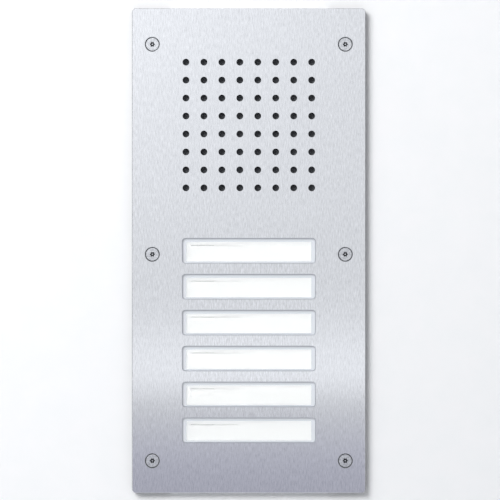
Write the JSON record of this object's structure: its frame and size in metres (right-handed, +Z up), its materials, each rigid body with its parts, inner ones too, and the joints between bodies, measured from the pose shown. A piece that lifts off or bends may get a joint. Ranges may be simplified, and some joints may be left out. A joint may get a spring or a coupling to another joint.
{
  "type": "door intercom panel",
  "caption": "Flush-mounted door station: brushed steel plate with a square field of sound holes over a speech unit, a column of lit call buttons with name labels, and a wall box.",
  "frame": {"origin": "centre of the front plate's outline, on the wall face that the gasket rests on", "axes": "+X to the right and +Z up as seen from the street, +Y into the wall"},
  "size_m": [0.13, 0.052, 0.27],
  "materials": {
    "stainless_plate": "vertically brushed",
    "stainless_fasteners": "bright turned",
    "galvanised_sheet": "galvanised",
    "zinc_fasteners": "zinc plated",
    "black_rubber": "matt",
    "foam_rubber": "closed-cell foam",
    "speaker_cloth": "non-woven",
    "speaker_paper": "pressed pulp",
    "ferrite": "sintered",
    "black_abs": "fine grain",
    "aluminium_can": "drawn",
    "green_board": "solder mask",
    "blue_plastic": "moulded",
    "green_plastic": "moulded",
    "white_plastic": "moulded",
    "led_white": "water-clear lens",
    "ribbon_grey": "soft vinyl",
    "spring_steel": "drawn wire",
    "clear_polycarbonate": "clear, polished",
    "label_paper": "smooth card",
    "opal_polycarbonate": "opal, satin"
  },
  "bodies": {
    "panel": {"front_plate": "stainless_plate", "plate_gasket": "black_rubber", "fixing_screws": "stainless_fasteners", "flush_box": "galvanised_sheet", "box_nuts": "zinc_fasteners", "cable_grommet": "black_rubber", "weld_studs": "zinc_fasteners", "stud_nuts": "zinc_fasteners", "acoustic_membrane": "speaker_cloth", "speech_housing": "black_abs", "speech_cover": "black_abs", "cover_screws": "zinc_fasteners", "speaker_gasket": "foam_rubber", "speaker_basket": "zinc_fasteners", "speaker_surround": "foam_rubber", "speaker_cone": "speaker_paper", "speaker_dust_cap": "speaker_paper", "speaker_magnet": "ferrite", "speaker_screws": "zinc_fasteners", "microphone": "aluminium_can", "microphone_boot": "black_rubber", "speech_board": "green_board", "board_screws": "zinc_fasteners", "board_parts": "black_abs", "trimmer_bodies": "blue_plastic", "terminal_block": "green_plastic", "terminal_screws": "zinc_fasteners", "button_carrier": "black_abs", "button_board": "green_board", "button_leds": "led_white", "switch_bodies": "black_abs", "ribbon_plugs": "black_abs", "ribbon_cable": "ribbon_grey", "button_springs": "spring_steel"},
    "button_1": {"button_cap_1": "clear_polycarbonate", "label_card_1": "label_paper", "button_carriage_1": "opal_polycarbonate"},
    "button_2": {"button_cap_2": "clear_polycarbonate", "label_card_2": "label_paper", "button_carriage_2": "opal_polycarbonate"},
    "button_3": {"button_cap_3": "clear_polycarbonate", "label_card_3": "label_paper", "button_carriage_3": "opal_polycarbonate"},
    "button_4": {"button_cap_4": "clear_polycarbonate", "label_card_4": "label_paper", "button_carriage_4": "opal_polycarbonate"},
    "button_5": {"button_cap_5": "clear_polycarbonate", "label_card_5": "label_paper", "button_carriage_5": "opal_polycarbonate"},
    "button_6": {"button_cap_6": "clear_polycarbonate", "label_card_6": "label_paper", "button_carriage_6": "opal_polycarbonate"},
    "plunger_1": {"switch_plunger_1": "white_plastic"},
    "plunger_2": {"switch_plunger_2": "white_plastic"},
    "plunger_3": {"switch_plunger_3": "white_plastic"},
    "plunger_4": {"switch_plunger_4": "white_plastic"},
    "plunger_5": {"switch_plunger_5": "white_plastic"},
    "plunger_6": {"switch_plunger_6": "white_plastic"},
    "rotor_1": {"trimmer_rotor_1": "white_plastic"},
    "rotor_2": {"trimmer_rotor_2": "white_plastic"}
  },
  "joints": [
    {"name": "button_1_press", "type": "slide", "parent": "panel", "child": "button_1", "axis": [0, 1, 0], "range_m": [0, 0.0012], "stiffness_N_per_m": 800, "springref_m": -0.0012, "deforming": ["button_springs"]},
    {"name": "button_2_press", "type": "slide", "parent": "panel", "child": "button_2", "axis": [0, 1, 0], "range_m": [0, 0.0012], "stiffness_N_per_m": 800, "springref_m": -0.0012, "deforming": ["button_springs"]},
    {"name": "button_3_press", "type": "slide", "parent": "panel", "child": "button_3", "axis": [0, 1, 0], "range_m": [0, 0.0012], "stiffness_N_per_m": 800, "springref_m": -0.0012, "deforming": ["button_springs"]},
    {"name": "button_4_press", "type": "slide", "parent": "panel", "child": "button_4", "axis": [0, 1, 0], "range_m": [0, 0.0012], "stiffness_N_per_m": 800, "springref_m": -0.0012, "deforming": ["button_springs"]},
    {"name": "button_5_press", "type": "slide", "parent": "panel", "child": "button_5", "axis": [0, 1, 0], "range_m": [0, 0.0012], "stiffness_N_per_m": 800, "springref_m": -0.0012, "deforming": ["button_springs"]},
    {"name": "button_6_press", "type": "slide", "parent": "panel", "child": "button_6", "axis": [0, 1, 0], "range_m": [0, 0.0012], "stiffness_N_per_m": 800, "springref_m": -0.0012, "deforming": ["button_springs"]},
    {"name": "plunger_1_press", "type": "slide", "parent": "panel", "child": "plunger_1", "axis": [0, 1, 0], "range_m": [0, 0.0003]},
    {"name": "plunger_2_press", "type": "slide", "parent": "panel", "child": "plunger_2", "axis": [0, 1, 0], "range_m": [0, 0.0003]},
    {"name": "plunger_3_press", "type": "slide", "parent": "panel", "child": "plunger_3", "axis": [0, 1, 0], "range_m": [0, 0.0003]},
    {"name": "plunger_4_press", "type": "slide", "parent": "panel", "child": "plunger_4", "axis": [0, 1, 0], "range_m": [0, 0.0003]},
    {"name": "plunger_5_press", "type": "slide", "parent": "panel", "child": "plunger_5", "axis": [0, 1, 0], "range_m": [0, 0.0003]},
    {"name": "plunger_6_press", "type": "slide", "parent": "panel", "child": "plunger_6", "axis": [0, 1, 0], "range_m": [0, 0.0003]},
    {"name": "trimmer_1_turn", "type": "hinge", "parent": "panel", "child": "rotor_1", "pos_m": [-0.024, 0.0182, 0.0465], "axis": [0, 1, 0], "range_deg": [-130, 130]},
    {"name": "trimmer_2_turn", "type": "hinge", "parent": "panel", "child": "rotor_2", "pos_m": [-0.01, 0.0182, 0.0465], "axis": [0, 1, 0], "range_deg": [-130, 130]}
  ],
  "couplings": [
    {"joint": "plunger_1_press", "follows": "button_1_press", "ratio": 0.25},
    {"joint": "plunger_2_press", "follows": "button_2_press", "ratio": 0.25},
    {"joint": "plunger_3_press", "follows": "button_3_press", "ratio": 0.25},
    {"joint": "plunger_4_press", "follows": "button_4_press", "ratio": 0.25},
    {"joint": "plunger_5_press", "follows": "button_5_press", "ratio": 0.25},
    {"joint": "plunger_6_press", "follows": "button_6_press", "ratio": 0.25}
  ]
}
